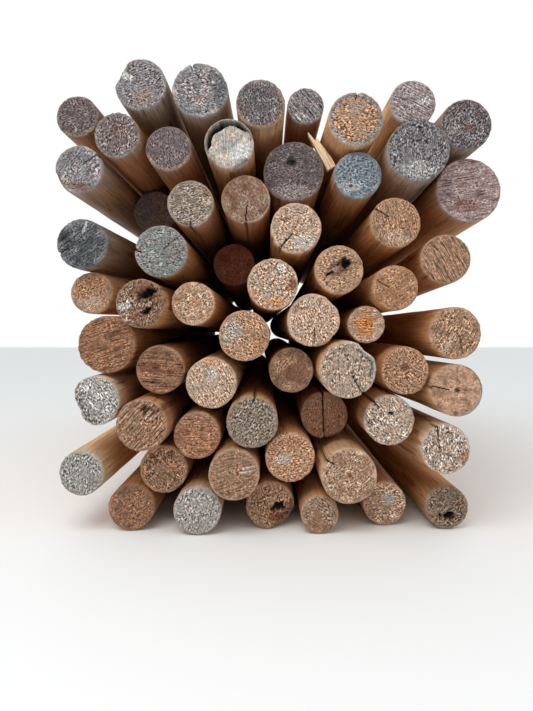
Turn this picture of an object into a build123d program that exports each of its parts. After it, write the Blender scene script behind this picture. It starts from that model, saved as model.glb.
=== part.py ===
from build123d import *
from dataclasses import dataclass, field
from math import cos, dist, hypot, radians, sin, sqrt, tan
import os

# The pile: peeled softwood poles, squared up at the back and ragged in front.
POLE_LENGTH = 3000  # from the front of the pile to the squared-up back ends
BACK_STEPS = (0, 12, 4, 16, 8)  # how far the poles of a course, in turn, stop short of the back
BEDDING = 0.5  # clearance where one pole bears on another
TAPERS = range(-6, 22, 2)  # gain in diameter for each metre towards the butt, as such poles grow
USUAL_TAPER = 10
PLAIN_END = 350  # from the front end, before a pole starts to thicken
SLANTS = ((2, 90), (1, 200), (3, 50), (2, 320), (1, 130))  # saw cuts out of square: how far and facing where
GROUND = 0  # height given for a pole that lies on the ground

# The sliver: a piece split off along the grain, which stands on one pole and leans on the next.
SLIVER_LENGTH = 165
SLIVER_PRONG = 130  # length up to its shorter prong
SLIVER_SHOULDER = 30  # length of the thick heel
SLIVER_TOP = 22
SLIVER_CLEFT = 12
SLIVER_TIP = 3
SLIVER_FOOT = 36
SLIVER_DEPTH = 28
SLIVER_SET_BACK = 15  # behind the end of the pole it leans on
SLIVER_LEAN = 62  # steepness, in degrees above the level

# How the seat of a pole is chosen.
STATIONS = 20  # places along a pole where its clearance is measured
GATHER = 0.03  # how much closer the back ends lie than the front ends, which fan out
TIPSY = 10  # how much nearer a seat outside its two supports has to be
STIFFNESS = 3  # how much worse it is to move a front end than to let the pole lean


@dataclass
class Check:
    """A crack opened by drying: the way it faces in degrees, width at the rim, depth, and run along the side."""

    facing: float
    width: float
    depth: float
    run: float


@dataclass
class Rot:
    """A hole rotted into an end: its middle, measured from the pith, half its width and height, depth and tilt."""

    middle: tuple
    width: float
    height: float
    depth: float
    tilt: float = 0


@dataclass
class Shake:
    """A crescent rotted out under the skin, which stands as a thin shell: facing, skin, width and depth."""

    facing: float
    skin: float
    width: float
    depth: float


@dataclass
class Break:
    """A corner lost from an end: the way it faces, how far in from the rim and how far along the side."""

    facing: float
    inward: float
    back: float


@dataclass
class Pole:
    """A pole, by the end that faces front: diameter, place of its centre, set-back and what the end has lost."""

    diameter: float
    across: float
    height: float
    set_back: float
    losses: tuple = ()
    front: tuple = field(default=(0, 0), init=False)
    back: tuple = field(default=(0, 0), init=False)
    butt: float = field(default=0, init=False)

    def at(self, along):
        """Centre and radius of the section this far behind the front of the pile."""
        share = (along - self.set_back) / (POLE_LENGTH - self.set_back)
        across = self.front[0] + (self.back[0] - self.front[0]) * share
        height = self.front[1] + (self.back[1] - self.front[1]) * share
        tapering = self.set_back + PLAIN_END
        grown = max(along - tapering, 0) / (POLE_LENGTH - tapering)
        return across, height, (self.diameter + (self.butt - self.diameter) * grown) / 2


# Each course lists its poles in the order in which they were laid. Facing is 0 to the right, 90 up.
COURSES = {
    "course_1": [
        Pole(185, -265, GROUND, 0),
        Pole(190, 5, GROUND, 55, (Rot((30, -10), 28, 15, 40), Break(-35, 40, 55))),
        Pole(180, -520, GROUND, 45),
        Pole(150, 190, GROUND, 10),
        Pole(175, 450, GROUND, 100),
        Pole(170, 680, GROUND, 60, (Rot((4, -34), 25, 12, 40),)),
    ],
    "course_2": [
        Pole(190, -410, 220, 60),
        Pole(175, -695, 230, 0),
        Pole(195, -120, 230, -40),
        Pole(195, 80, 285, 20),
        Pole(215, 290, 220, -20, (Check(145, 6, 45, 300),)),
        Pole(190, 650, 325, -20, (Check(110, 7, 125, 280),)),
    ],
    "course_3": [
        Pole(195, -450, 395, -60),
        Pole(185, -275, 345, 20),
        Pole(200, -60, 420, -20, (Check(84, 7, 40, 260),)),
        Pole(190, 210, 425, 100, (Check(96, 9, 110, 300), Check(-88, 8, 75, 220))),
        Pole(195, 460, 410, 0, (Check(129, 6, 60, 300),)),
        Pole(190, -640, 500, -20, (Break(-150, 85, 60),)),
    ],
    "course_4": [
        Pole(190, -405, 615, 20),
        Pole(200, -215, 555, 20),
        Pole(200, 690, 540, -20, (Check(172, 4, 70, 40),)),
        Pole(175, 85, 610, 30),
        Pole(210, 265, 590, -80, (Check(-59, 7, 75, 60),)),
        Pole(185, 505, 605, 0),
    ],
    "course_5": [
        Pole(225, -610, 700, 30),
        Pole(195, -90, 740, -20),
        Pole(205, 175, 785, 0),
        Pole(150, 370, 780, 60),
        Pole(200, 685, 750, -20, (Check(-110, 4, 70, 40),)),
    ],
    "course_6": [
        Pole(185, -470, 850, -60, (Rot((28, 38), 33, 16, 60, 30), Rot((23, -28), 22, 10, 35, 35))),
        Pole(170, -280, 860, 0),
        Pole(165, -665, 885, 40),
        Pole(195, 15, 930, -20),
        Pole(175, 460, 910, -20),
        Pole(190, 260, 985, 0, (Rot((28, 26), 24, 15, 45, 25),)),
        Pole(190, 655, 1025, 0),
    ],
    "course_7": [
        Pole(200, -395, 1050, -20, (Check(177, 7, 30, 60),)),
        Pole(185, -140, 1035, 300),
        Pole(195, -690, 1075, 0, (Check(-158, 5, 50, 120),)),
        Pole(195, -505, 1285, 400),
        Pole(180, -290, 1230, 0, (Check(-89, 6, 30, 300),)),
        Pole(190, -85, 1245, 0, (Check(-90, 6, 70, 300),)),
        Pole(195, 100, 1135, -20, (Check(-129, 7, 70, 200),)),
        Pole(195, 470, 1160, 0, (Check(145, 5, 65, 60),)),
    ],
    "course_8": [
        Pole(185, -695, 1350, -20, (Check(39, 4, 70, 60), Break(-150, 12, 30))),
        Pole(175, -555, 1465, -20),
        Pole(180, -375, 1440, 20),
        Pole(190, -145, 1445, -20, (Shake(112, 7, 30, 70),)),
        Pole(240, 95, 1365, 60, (Rot((-7, 40), 17, 14, 35),)),
        Pole(185, 330, 1335, 0),
        Pole(235, 545, 1415, -40),
        Pole(255, 755, 1295, 50),
    ],
    "course_9": [
        Pole(170, -730, 1575, 60),
        Pole(200, -475, 1670, 0, (Break(152, 14, 40),)),
        Pole(215, -255, 1650, 0, (Check(107, 7, 30, 100),)),
        Pole(190, -30, 1600, 0),
        Pole(210, 320, 1535, -20, (Check(88, 7, 34, 150),)),
        Pole(150, 135, 1630, 100),
        Pole(185, 555, 1635, 80),
        Pole(200, 740, 1530, 20),
    ],
}
SLIVER_RESTS_ON = COURSES["course_8"][4]
SLIVER_STANDS_ON = COURSES["course_8"][5]


def clearance(pole, other):
    """Least gap between two poles, with the share of the way back and the offset there."""
    start = max(pole.set_back, other.set_back)
    gaps = []
    for station in range(STATIONS + 1):
        share = station / STATIONS
        along = start + (POLE_LENGTH - start) * share
        x, z, radius = pole.at(along)
        other_x, other_z, other_radius = other.at(along)
        offset = (x - other_x, z - other_z)
        gaps.append((hypot(*offset) - radius - other_radius, share, offset))
    return min(gaps)


def between(first, first_reach, second, second_reach):
    """The two points that lie at these reaches from the back centres of two poles, if any."""
    run = (second.back[0] - first.back[0], second.back[1] - first.back[1])
    apart = hypot(*run)
    if apart >= first_reach + second_reach or apart <= abs(first_reach - second_reach):
        return []
    along = (first_reach**2 - second_reach**2 + apart**2) / (2 * apart)
    off = sqrt(max(first_reach**2 - along**2, 0))
    run = (run[0] / apart, run[1] / apart)
    middle = (first.back[0] + along * run[0], first.back[1] + along * run[1])
    return [(middle[0] - side * off * run[1], middle[1] + side * off * run[0]) for side in (1, -1)]


def back_seats(pole, near):
    """Every place where the butt can bed: in the cradle of two poles or, in the bottom course, on the ground."""
    seats = []
    radius = pole.butt / 2
    reaches = [radius + other.butt / 2 + BEDDING for other in near]
    if pole.height == GROUND:
        seats.append(((pole.across * (1 - GATHER), radius), 0))
        for other, reach in zip(near, reaches):
            rise = radius - other.back[1]
            if abs(rise) < reach:
                step = sqrt(reach**2 - rise**2)
                seats += [((other.back[0] + side * step, radius), 0) for side in (1, -1)]
    for i, first in enumerate(near):
        for j in range(i + 1, len(near)):
            second = near[j]
            for seat in between(first, reaches[i], second, reaches[j]):
                held = min(first.back[0], second.back[0]) <= seat[0] <= max(first.back[0], second.back[0])
                seats.append((seat, 0 if held else TIPSY))
    slack = BEDDING / 50
    return [
        (seat, tipsy)
        for seat, tipsy in seats
        if seat[1] >= radius - slack
        and all(dist(seat, other.back) >= reach - slack for other, reach in zip(near, reaches))
    ]


def clear_front(pole, near):
    """Ease the front end away from what it would press into; the distance moved, or None if it can't clear."""
    lowest = pole.diameter / 2
    slack = BEDDING / 50
    tries = 40
    pole.front = (pole.across, max(pole.height, lowest))
    wanted = pole.front
    for _ in range(tries):
        gap, share, offset = min((clearance(pole, other) for other in near), default=(BEDDING, 0, (0, 1)))
        if gap >= BEDDING - slack:
            return dist(pole.front, wanted)
        leverage = max(1 - share, 0.2)
        push = (BEDDING * 1.2 - gap) / leverage / hypot(*offset)
        pole.front = (pole.front[0] + offset[0] * push, max(pole.front[1] + offset[1] * push, lowest))
    return None


def lay(pole, laid):
    """Give the pole the butt, the seat and the front end that keep it nearest to where it lies."""
    wanted = (pole.across * (1 - GATHER), max(pole.height, pole.diameter / 2) * (1 - GATHER))
    near = [other for other in laid if dist(other.back, wanted) < 1.5 * (pole.diameter + other.diameter)]
    tries = []
    for taper in TAPERS:
        if pole.height == GROUND and taper < 0:
            continue
        pole.butt = pole.diameter + taper * POLE_LENGTH / 1000
        oddness = abs(taper - USUAL_TAPER)
        for seat, tipsy in back_seats(pole, near):
            astray = abs(seat[0] - wanted[0]) if pole.height == GROUND else dist(seat, wanted)
            tries.append((astray + oddness + tipsy, seat, pole.butt))
    best = None
    for cost, pole.back, pole.butt in sorted(tries):
        if best and cost >= best[0]:
            break
        moved = clear_front(pole, near)
        if moved is not None and (best is None or cost + STIFFNESS * moved < best[0]):
            best = (cost + STIFFNESS * moved, pole.back, pole.butt, pole.front)
    if best is None:
        raise ValueError(f"no seat holds the pole at {pole.across}, {pole.height}")
    cost, pole.back, pole.butt, pole.front = best


def middle_of(laid):
    """Across and along, the middle of the box around the pile."""
    ends = [(pole.front[0], pole.diameter / 2) for pole in laid] + [(pole.back[0], pole.butt / 2) for pole in laid]
    left = min(across - radius for across, radius in ends)
    right = max(across + radius for across, radius in ends)
    return (left + right) / 2, (min(pole.set_back for pole in laid) + POLE_LENGTH) / 2


def turned_to(face, facing):
    """The plane of an end, turned so that its x axis points this way."""
    pointing = face.x_dir * cos(radians(facing)) + face.y_dir * sin(radians(facing))
    return Plane(face.origin, x_dir=pointing, z_dir=face.z_dir)


def check_tool(check, face, radius):
    """A wedge that opens at the rim, is thin at the crack's depth and dies out along the side."""
    turned = turned_to(face, check.facing)
    outside = radius + check.depth
    with BuildPart() as tool:
        for ahead, depth in ((check.run, 2 * check.depth), (-check.run, 0)):
            with BuildSketch(turned.offset(ahead)):
                Polygon((outside, -check.width), (outside, check.width), (radius - depth, 0), align=None)
        loft(ruled=True)
    return tool.part


def rot_tool(rot, face, radius):
    """An oval plug that stands out past the end."""
    across, up = rot.middle
    with BuildPart() as tool:
        with BuildSketch(face.offset(radius)):
            with Locations(Location((across, up, 0), (0, 0, rot.tilt))):
                Ellipse(rot.width, rot.height)
        extrude(amount=-radius - rot.depth)
    return tool.part


def shake_tool(shake, face, radius):
    """A crescent between the skin and the heart."""
    inside = radius - shake.skin
    with BuildPart() as tool:
        with BuildSketch(turned_to(face, shake.facing).offset(radius)):
            Circle(inside)
            with Locations((-shake.width, 0)):
                Circle(inside, mode=Mode.SUBTRACT)
        extrude(amount=-radius - shake.depth)
    return tool.part


def break_tool(corner, face, radius):
    """A block that stands on the plane along which the corner broke off."""
    turned = turned_to(face, corner.facing)
    edge = turned.from_local_coords((radius - corner.inward, 0, 0))
    broken = Plane(edge, x_dir=turned.y_dir, z_dir=turned.x_dir * corner.back + turned.z_dir * corner.inward)
    with BuildPart() as tool:
        with BuildSketch(broken):
            Rectangle(4 * radius, 4 * radius)
        extrude(amount=2 * radius)
    return tool.part


TOOLS = {Check: check_tool, Rot: rot_tool, Shake: shake_tool, Break: break_tool}


def make_pole(pole, place, middle):
    """The solid of one pole: plain near its front end and thicker towards its butt, with what its end has lost."""
    length = POLE_LENGTH - pole.set_back - BACK_STEPS[place % len(BACK_STEPS)]
    front = Vector(pole.front[0] - middle[0], pole.set_back - middle[1], pole.front[1])
    back = Vector(pole.back[0] - middle[0], POLE_LENGTH - middle[1], pole.back[1])
    along = (back - front).normalized()
    radial = along.cross(Vector(0, 0, 1)).normalized()
    radius = pole.diameter / 2
    gain = (pole.butt - pole.diameter) / 2 / (POLE_LENGTH - pole.set_back - PLAIN_END)
    angle, facing = SLANTS[place % len(SLANTS)]
    spare = radius * tan(radians(angle))
    lengthwise = Plane(front, x_dir=radial, z_dir=radial.cross(along))
    square = Plane(front, x_dir=radial, z_dir=-along)
    sawn = Plane(front, z_dir=square.z_dir + turned_to(square, facing).x_dir * tan(radians(angle)))
    with BuildPart() as solid:
        with BuildSketch(lengthwise):
            with BuildLine():
                Polyline(
                    (0, -spare),
                    (radius, -spare),
                    (radius, PLAIN_END),
                    (radius + gain * (length - PLAIN_END), length),
                    (0, length),
                    close=True,
                )
            make_face()
        revolve(axis=Axis(front, along))
        split(bisect_by=sawn, keep=Keep.BOTTOM)
        for loss in pole.losses:
            add(TOOLS[type(loss)](loss, square, radius), mode=Mode.SUBTRACT)
    return solid.part


def make_sliver(rest, foot, middle):
    """The sliver, laid along the flank of the pole it leans on, its heel on the pole it stands on."""
    near = rest.set_back + SLIVER_SET_BACK
    x, z, radius = rest.at(near + SLIVER_DEPTH / 2)
    foot_x, foot_z, foot_radius = foot.at(near + SLIVER_DEPTH / 2)
    down = (cos(radians(SLIVER_LEAN)), -sin(radians(SLIVER_LEAN)))
    outward = (-down[1], down[0])
    slides = []
    for off in (radius + BEDDING, radius + BEDDING + SLIVER_FOOT):
        start = (x + outward[0] * off - foot_x, z + outward[1] * off - foot_z)
        level = start[0] * down[0] + start[1] * down[1]
        apart = start[0] ** 2 + start[1] ** 2 - (foot_radius + BEDDING) ** 2
        slides.append(-level - sqrt(max(level**2 - apart, 0)))
    slide = min(slides)
    heel = Vector(
        x + outward[0] * (radius + BEDDING) + down[0] * slide - middle[0],
        near - middle[1],
        z + outward[1] * (radius + BEDDING) + down[1] * slide,
    )
    flank = Plane(heel, x_dir=(outward[0], 0, outward[1]), z_dir=(0, -1, 0))
    with BuildPart() as sliver:
        with BuildSketch(flank):
            with BuildLine():
                Polyline(
                    (0, 0),
                    (SLIVER_FOOT, 0),
                    (SLIVER_FOOT, SLIVER_SHOULDER),
                    (SLIVER_TOP, SLIVER_PRONG),
                    (SLIVER_CLEFT, SLIVER_PRONG - SLIVER_CLEFT),
                    (SLIVER_TIP, SLIVER_LENGTH),
                    (0, SLIVER_LENGTH - SLIVER_CLEFT),
                    close=True,
                )
            make_face()
        extrude(amount=-SLIVER_DEPTH)
    return sliver.part


os.makedirs("parts", exist_ok=True)
laid = []
for course, poles in COURSES.items():
    for pole in poles:
        lay(pole, laid)
        laid.append(pole)
middle = middle_of(laid)
for course, poles in COURSES.items():
    with BuildPart() as layer:
        for place, pole in enumerate(poles):
            add(make_pole(pole, place, middle))
    layer.part.label = course
    export_step(layer.part, f"parts/{course}.step")
with BuildPart() as split_sliver:
    add(make_sliver(SLIVER_RESTS_ON, SLIVER_STANDS_ON, middle))
split_sliver.part.label = "split_sliver"
export_step(split_sliver.part, "parts/split_sliver.step")
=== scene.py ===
import math
import bmesh
import bpy
import numpy as np
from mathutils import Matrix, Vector, noise
from types import SimpleNamespace as record

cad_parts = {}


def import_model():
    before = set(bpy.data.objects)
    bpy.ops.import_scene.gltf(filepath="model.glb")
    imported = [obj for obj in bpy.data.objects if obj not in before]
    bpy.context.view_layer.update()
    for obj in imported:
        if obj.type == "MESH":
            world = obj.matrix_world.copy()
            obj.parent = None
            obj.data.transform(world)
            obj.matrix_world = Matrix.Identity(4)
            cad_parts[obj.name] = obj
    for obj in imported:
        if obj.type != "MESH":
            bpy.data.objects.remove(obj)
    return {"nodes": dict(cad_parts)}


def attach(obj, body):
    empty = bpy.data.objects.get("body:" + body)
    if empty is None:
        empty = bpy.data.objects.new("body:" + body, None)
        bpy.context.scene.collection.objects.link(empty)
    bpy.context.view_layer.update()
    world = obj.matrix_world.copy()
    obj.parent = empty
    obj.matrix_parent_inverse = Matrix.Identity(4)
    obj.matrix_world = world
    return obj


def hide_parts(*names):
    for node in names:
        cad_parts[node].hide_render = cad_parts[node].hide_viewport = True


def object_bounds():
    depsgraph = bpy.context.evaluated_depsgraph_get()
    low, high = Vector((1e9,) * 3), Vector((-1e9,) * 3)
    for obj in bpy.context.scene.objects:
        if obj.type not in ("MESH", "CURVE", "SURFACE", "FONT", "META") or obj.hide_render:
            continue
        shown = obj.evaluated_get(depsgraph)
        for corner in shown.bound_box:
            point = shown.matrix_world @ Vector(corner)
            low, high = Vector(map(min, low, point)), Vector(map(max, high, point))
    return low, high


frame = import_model()
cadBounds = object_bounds()
print("frame loaded:", len(frame["nodes"]), "nodes")

# The place the pile is looked at from, in metres and millimetres of lens.
viewPoint = {
    "place": (-0.059, -3.44, 0.762),
    "lens": 27.1,
    "shiftX": -0.002,
    "shiftY": -0.036,
}

studio = {
    "floorTone": (244, 244, 242),
    "floorSize": 40,
    "floorRoughness": 0.9,
    "skyTint": (0.94, 0.97, 1, 1),
    "skyStrength": 0.85,
    "lampPlace": (-1.2, -3.6, 4.2),
    "lampAim": (0, -0.6, 0.8),
    "lampSize": 3.2,
    "lampWatts": 95,
}

# Tones of the wood, as a screen shows them (0 to 255).
tones = {
    "slate": (84, 89, 90),
    "blueGrey": (116, 123, 129),
    "ashGrey": (138, 134, 135),
    "dullBrown": (112, 100, 98),
    "warmGrey": (128, 114, 110),
    "pinkGrey": (156, 142, 138),
    "driftGrey": (152, 135, 118),
    "pinkBrown": (156, 130, 125),
    "mossGrey": (140, 145, 139),
    "paleGrey": (174, 168, 160),
    "bleached": (205, 202, 196),
    "cream": (188, 163, 143),
    "sand": (182, 146, 118),
    "tan": (168, 132, 106),
    "orangeTan": (170, 124, 92),
    "rust": (150, 108, 82),
    "heartOrange": (208, 142, 88),
    "brown": (140, 104, 82),
    "darkBrown": (108, 72, 54),
    "redBrown": (118, 66, 46),
    # Near black, for rotted wood and for painted shade at the bottom of cracks, pockets and hollows.
    "rot": (30, 23, 21),
    "ochre": (152, 132, 98),
    "splitYellow": (236, 208, 168),
    "honeySide": (192, 136, 86),
    "paleSide": (222, 178, 130),
    "greySide": (152, 134, 114),
    "brightSide": (230, 184, 132),
    "brownSide": (166, 114, 76),
}


def toLinear(rgb):
    shares = [part / 255 for part in rgb]
    return tuple(s / 12.92 if s <= 0.04045 else ((s + 0.055) / 1.055) ** 2.4 for s in shares)


toneOf = {name: np.array(toLinear(rgb)) for name, rgb in tones.items()}


# What can happen to an end. Places and sizes are shares of the radius, right and up from the
# middle, but depths, runs and the widths of cracks and streaks are in metres. Bearings are
# in degrees, anticlockwise from the right.
def crack(start, end, width, depth=0.02, run=0.0):
    return record(kind="crack", **locals())


def pocket(centre, size, depth, tone="rot", turn=0):
    return record(kind="pocket", **locals())


def patch(centre, size, tone, strength=0.8, turn=0):
    return record(kind="patch", **locals())


def streak(start, end, width, tone="bleached", strength=0.85):
    return record(kind="streak", **locals())


def band(width, tone, strength=0.8, middle=0, spread=180):
    return record(kind="band", **locals())


def chip(facing, reach, depth):
    return record(kind="chip", **locals())


def flat(middle, spread, depth):
    return record(kind="flat", **locals())


def hollow(facing, skin, width, depth):
    return record(kind="hollow", **locals())


# Two tones mix on an end. The saw's way is in degrees, with the strength of its ridges.
def look(face, mark, side="honeySide", fleck=0.8, saw=None, rings=0.3, rough=1.0, light=1.0, marks=()):
    return record(**locals())


# How each end looks, from left to right in each course.
courseLooks = {}

courseLooks["course_1"] = [
    look("brown", "rust", fleck=0.7),
    look("paleGrey", "pinkGrey", rough=1.4),
    look("tan", "brown", fleck=1.0, rough=2.0, marks=[
        pocket((0.35, -0.1), (0.3, 0.16), 0.03),
        chip(-35, 0.42, 0.055),
        patch((0.3, -0.5), (0.5, 0.3), "redBrown"),
    ]),
    look("tan", "driftGrey", fleck=0.7, light=0.9),
    look("tan", "cream", marks=[patch((0.2, 0.2), (0.4, 0.4), "paleGrey")]),
    look("driftGrey", "brown", fleck=1.0, rough=1.4, light=0.82, marks=[
        pocket((0.05, -0.4), (0.34, 0.16), 0.035),
    ]),
]

courseLooks["course_2"] = [
    look("paleGrey", "mossGrey", "paleSide", fleck=1.1, rough=1.5),
    look("tan", "rust", fleck=1.0, saw=(-50, 0.5), rough=1.4, marks=[
        band(0.12, "cream", 0.7, middle=10, spread=60),
    ]),
    look("tan", "brown", "brownSide", fleck=0.6, saw=(14, 0.6), rings=0.7, light=0.92, marks=[
        band(0.07, "cream", 0.7),
        streak((0.25, 0.22), (0.95, 0.36), 0.005),
        streak((0.2, 0.05), (0.9, 0.16), 0.004),
    ]),
    look("sand", "orangeTan", fleck=0.9, rough=1.6, light=1.15, marks=[
        patch((0, 0.6), (0.7, 0.35), "orangeTan", 0.6),
        patch((-0.3, -0.1), (0.4, 0.25), "bleached", 0.5),
    ]),
    look("tan", "cream", "paleSide", rings=0.8, marks=[
        patch((0.02, 0), (0.09, 0.09), "redBrown", 0.9),
        crack((-0.82, 0.58), (-0.55, 0.4), 0.004, run=0.5),
    ]),
    look("cream", "paleGrey", "paleSide", fleck=1.1, rough=1.5, light=1.1, marks=[
        crack((-0.35, 0.95), (-0.2, -0.35), 0.006, run=0.4),
        streak((0.3, 0.3), (1, 0.62), 0.014),
        patch((0.8, -0.35), (0.25, 0.45), "rust"),
    ]),
]

courseLooks["course_3"] = [
    look("paleGrey", "bleached", "paleSide", fleck=1.1, rough=1.5, marks=[
        chip(-150, 0.88, 0.06),
        flat(-158, 40, 0.009),
    ]),
    look("tan", "rust", "brownSide", saw=(48, 0.9), rough=1.7, marks=[
        band(0.12, "driftGrey", middle=150, spread=90),
        pocket((0.3, 0.5), (0.42, 0.26), 0.012, "darkBrown", -40),
        streak((0.1, 0.3), (0.42, 0.6), 0.014, "cream", 0.9),
        streak((0.3, 0.2), (0.6, 0.42), 0.01, "cream", 0.8),
    ]),
    look("rust", "brown", "brownSide", fleck=0.6, saw=(3, 0.7), light=1.24, marks=[
        band(0.15, "driftGrey", middle=95, spread=75),
    ]),
    look("driftGrey", "warmGrey", fleck=1.1, rough=1.7, marks=[
        band(0.1, "orangeTan", middle=120, spread=70),
        crack((0.1, 0.98), (-0.02, 0.7), 0.006, run=0.4),
    ]),
    look("brown", "redBrown", "brownSide", fleck=0.5, rough=0.8, light=0.9, marks=[
        crack((-0.08, 0.98), (0, -0.98), 0.007, 0.03, run=0.5),
        chip(-72, 0.1, 0.03),
    ]),
    look("cream", "paleGrey", fleck=1.1, rough=1.6, light=1.16, marks=[
        crack((-0.62, 0.76), (-0.38, 0.5), 0.005, run=0.5),
        pocket((0.1, 0.28), (0.14, 0.06), 0.01),
    ]),
]

courseLooks["course_4"] = [
    look("brown", "rust", "brownSide", fleck=0.5, saw=(-4, 1), marks=[
        band(0.1, "cream", 0.6, middle=75, spread=60),
        streak((-0.95, -0.04), (0.9, -0.12), 0.01, "redBrown", 0.95),
        streak((-0.9, 0.22), (0.6, 0.12), 0.008, "redBrown", 0.9),
    ]),
    look("cream", "sand", "paleSide", saw=(-58, 0.6), light=1.1, marks=[
        patch((-0.02, 0.85), (0.36, 0.3), "heartOrange", 0.5),
        streak((0.06, 0.78), (0.04, 0.05), 0.03, "bleached", 0.6),
    ]),
    look("brown", "tan", fleck=0.55, rough=0.7, light=0.84, marks=[
        patch((0.1, -0.8), (0.8, 0.3), "tan", 0.6),
    ]),
    look("cream", "driftGrey", fleck=0.9, rings=0.5, light=0.96, marks=[
        flat(48, 26, 0.012),
        band(0.24, "slate", 0.95, middle=25, spread=45),
        band(0.08, "bleached", 0.9, middle=30, spread=70),
        crack((0.2, -0.25), (0.5, -0.82), 0.006, 0.015, run=0.05),
    ]),
    look("tan", "orangeTan", fleck=0.9, rings=0.6, rough=1.5, light=1.07, marks=[
        patch((0, 0.15), (0.26, 0.2), "darkBrown", 0.85),
        patch((-0.9, 0.3), (0.4, 0.6), "orangeTan", 0.6),
    ]),
    look("tan", "sand", "paleSide", fleck=0.3, rings=0.9, rough=0.6, marks=[
        crack((-0.95, 0.16), (-0.3, 0.03), 0.004, 0.015, run=0.04),
        streak((0, 0), (0.96, 0.03), 0.004, "darkBrown", 0.7),
        streak((0.03, 0.95), (0, 0.05), 0.004, "darkBrown", 0.6),
        streak((-0.5, 0.35), (0, 0.03), 0.004, "darkBrown", 0.5),
        patch((0, 0), (0.12, 0.12), "rot", 0.9),
        band(0.1, "paleGrey", 0.9, middle=-35, spread=60),
        band(0.05, "darkBrown", middle=35, spread=45),
    ]),
]

courseLooks["course_5"] = [
    look("rust", "brown", fleck=0.6, saw=(18, 0.9), rough=1.5, marks=[
        band(0.05, "cream", 0.7, middle=-110, spread=50),
    ]),
    look("sand", "orangeTan", fleck=0.9, saw=(-40, 0.4), marks=[
        patch((-0.5, 0.2), (0.5, 0.7), "paleGrey", 0.6),
        patch((0.6, -0.3), (0.4, 0.6), "orangeTan", 0.6),
    ]),
    look("cream", "sand", "paleSide", fleck=0.9, light=1.08, marks=[
        flat(45, 24, 0.006),
        flat(-40, 24, 0.006),
        crack((0.02, -0.35), (0.04, -0.95), 0.004, 0.012, run=0.05),
        patch((-0.7, 0.45), (0.2, 0.2), "brown", 0.7),
    ]),
    look("cream", "sand", fleck=0.7, saw=(0, 0.5), light=1.15, marks=[
        patch((-0.05, 0), (0.72, 0.88), "heartOrange", 0.95),
        patch((0, 0.05), (0.1, 0.3), "redBrown", 0.6),
    ]),
    look("tan", "sand", fleck=0.9, saw=(60, 0.4), rough=1.5, marks=[
        streak((-0.5, -0.78), (-0.03, -0.05), 0.02, "cream", 0.85),
        crack((0.18, -0.15), (0.3, -0.85), 0.003, 0.01),
    ]),
]

courseLooks["course_6"] = [
    look("tan", "orangeTan", "paleSide", fleck=0.7, light=0.9, marks=[
        patch((0, -0.5), (0.8, 0.5), "cream", 0.6),
        patch((0.2, 0.7), (0.8, 0.4), "orangeTan", 0.7),
    ]),
    look("brown", "driftGrey", fleck=1.1, rough=1.6, marks=[
        patch((0.3, 0.42), (0.6, 0.4), "darkBrown", 0.8, 30),
        patch((0.25, -0.3), (0.4, 0.2), "darkBrown", 0.7, 35),
        pocket((0.3, 0.42), (0.42, 0.22), 0.035, turn=30),
        pocket((0.25, -0.3), (0.26, 0.13), 0.025, turn=35),
        streak((-0.95, -0.25), (-0.35, 0.05), 0.03, "bleached", 0.7),
    ]),
    look("sand", "cream", saw=(35, 0.3), marks=[
        patch((0.1, 0.05), (0.45, 0.35), "orangeTan", 0.6),
    ]),
    look("cream", "sand", fleck=1.1, rough=1.5, light=1.08, marks=[
        patch((0.8, 0.02), (0.28, 0.35), "redBrown", 0.75),
        patch((0.1, -0.72), (0.65, 0.22), "heartOrange", 0.7),
        patch((-0.75, -0.4), (0.25, 0.22), "heartOrange", 0.5),
        patch((0.35, 0.65), (0.25, 0.25), "bleached", 0.7),
    ]),
    look("sand", "tan", rings=0.5, light=0.94, marks=[
        patch((0.02, 0.08), (0.74, 0.4), "darkBrown", 0.9, 25),
        patch((-0.2, -0.02), (0.34, 0.14), "driftGrey", 0.8, 25),
        pocket((0.3, 0.25), (0.3, 0.2), 0.035, "rot", 25),
        pocket((-0.36, -0.14), (0.16, 0.06), 0.015, "rot", 25),
    ]),
    look("orangeTan", "tan", fleck=0.6, light=0.93, marks=[
        crack((-0.8, 0.32), (-0.25, 0.02), 0.003, 0.01),
    ]),
    look("tan", "brown", fleck=0.4, saw=(-62, 1.1), rough=0.9, light=0.95, marks=[
        crack((-0.62, 0.7), (-0.3, 0.35), 0.003, 0.01),
        streak((0.05, 0.9), (0.6, -0.8), 0.004, "darkBrown", 0.7),
        streak((-0.4, 0.75), (0.1, -0.6), 0.003, "darkBrown", 0.5),
    ]),
]

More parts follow.
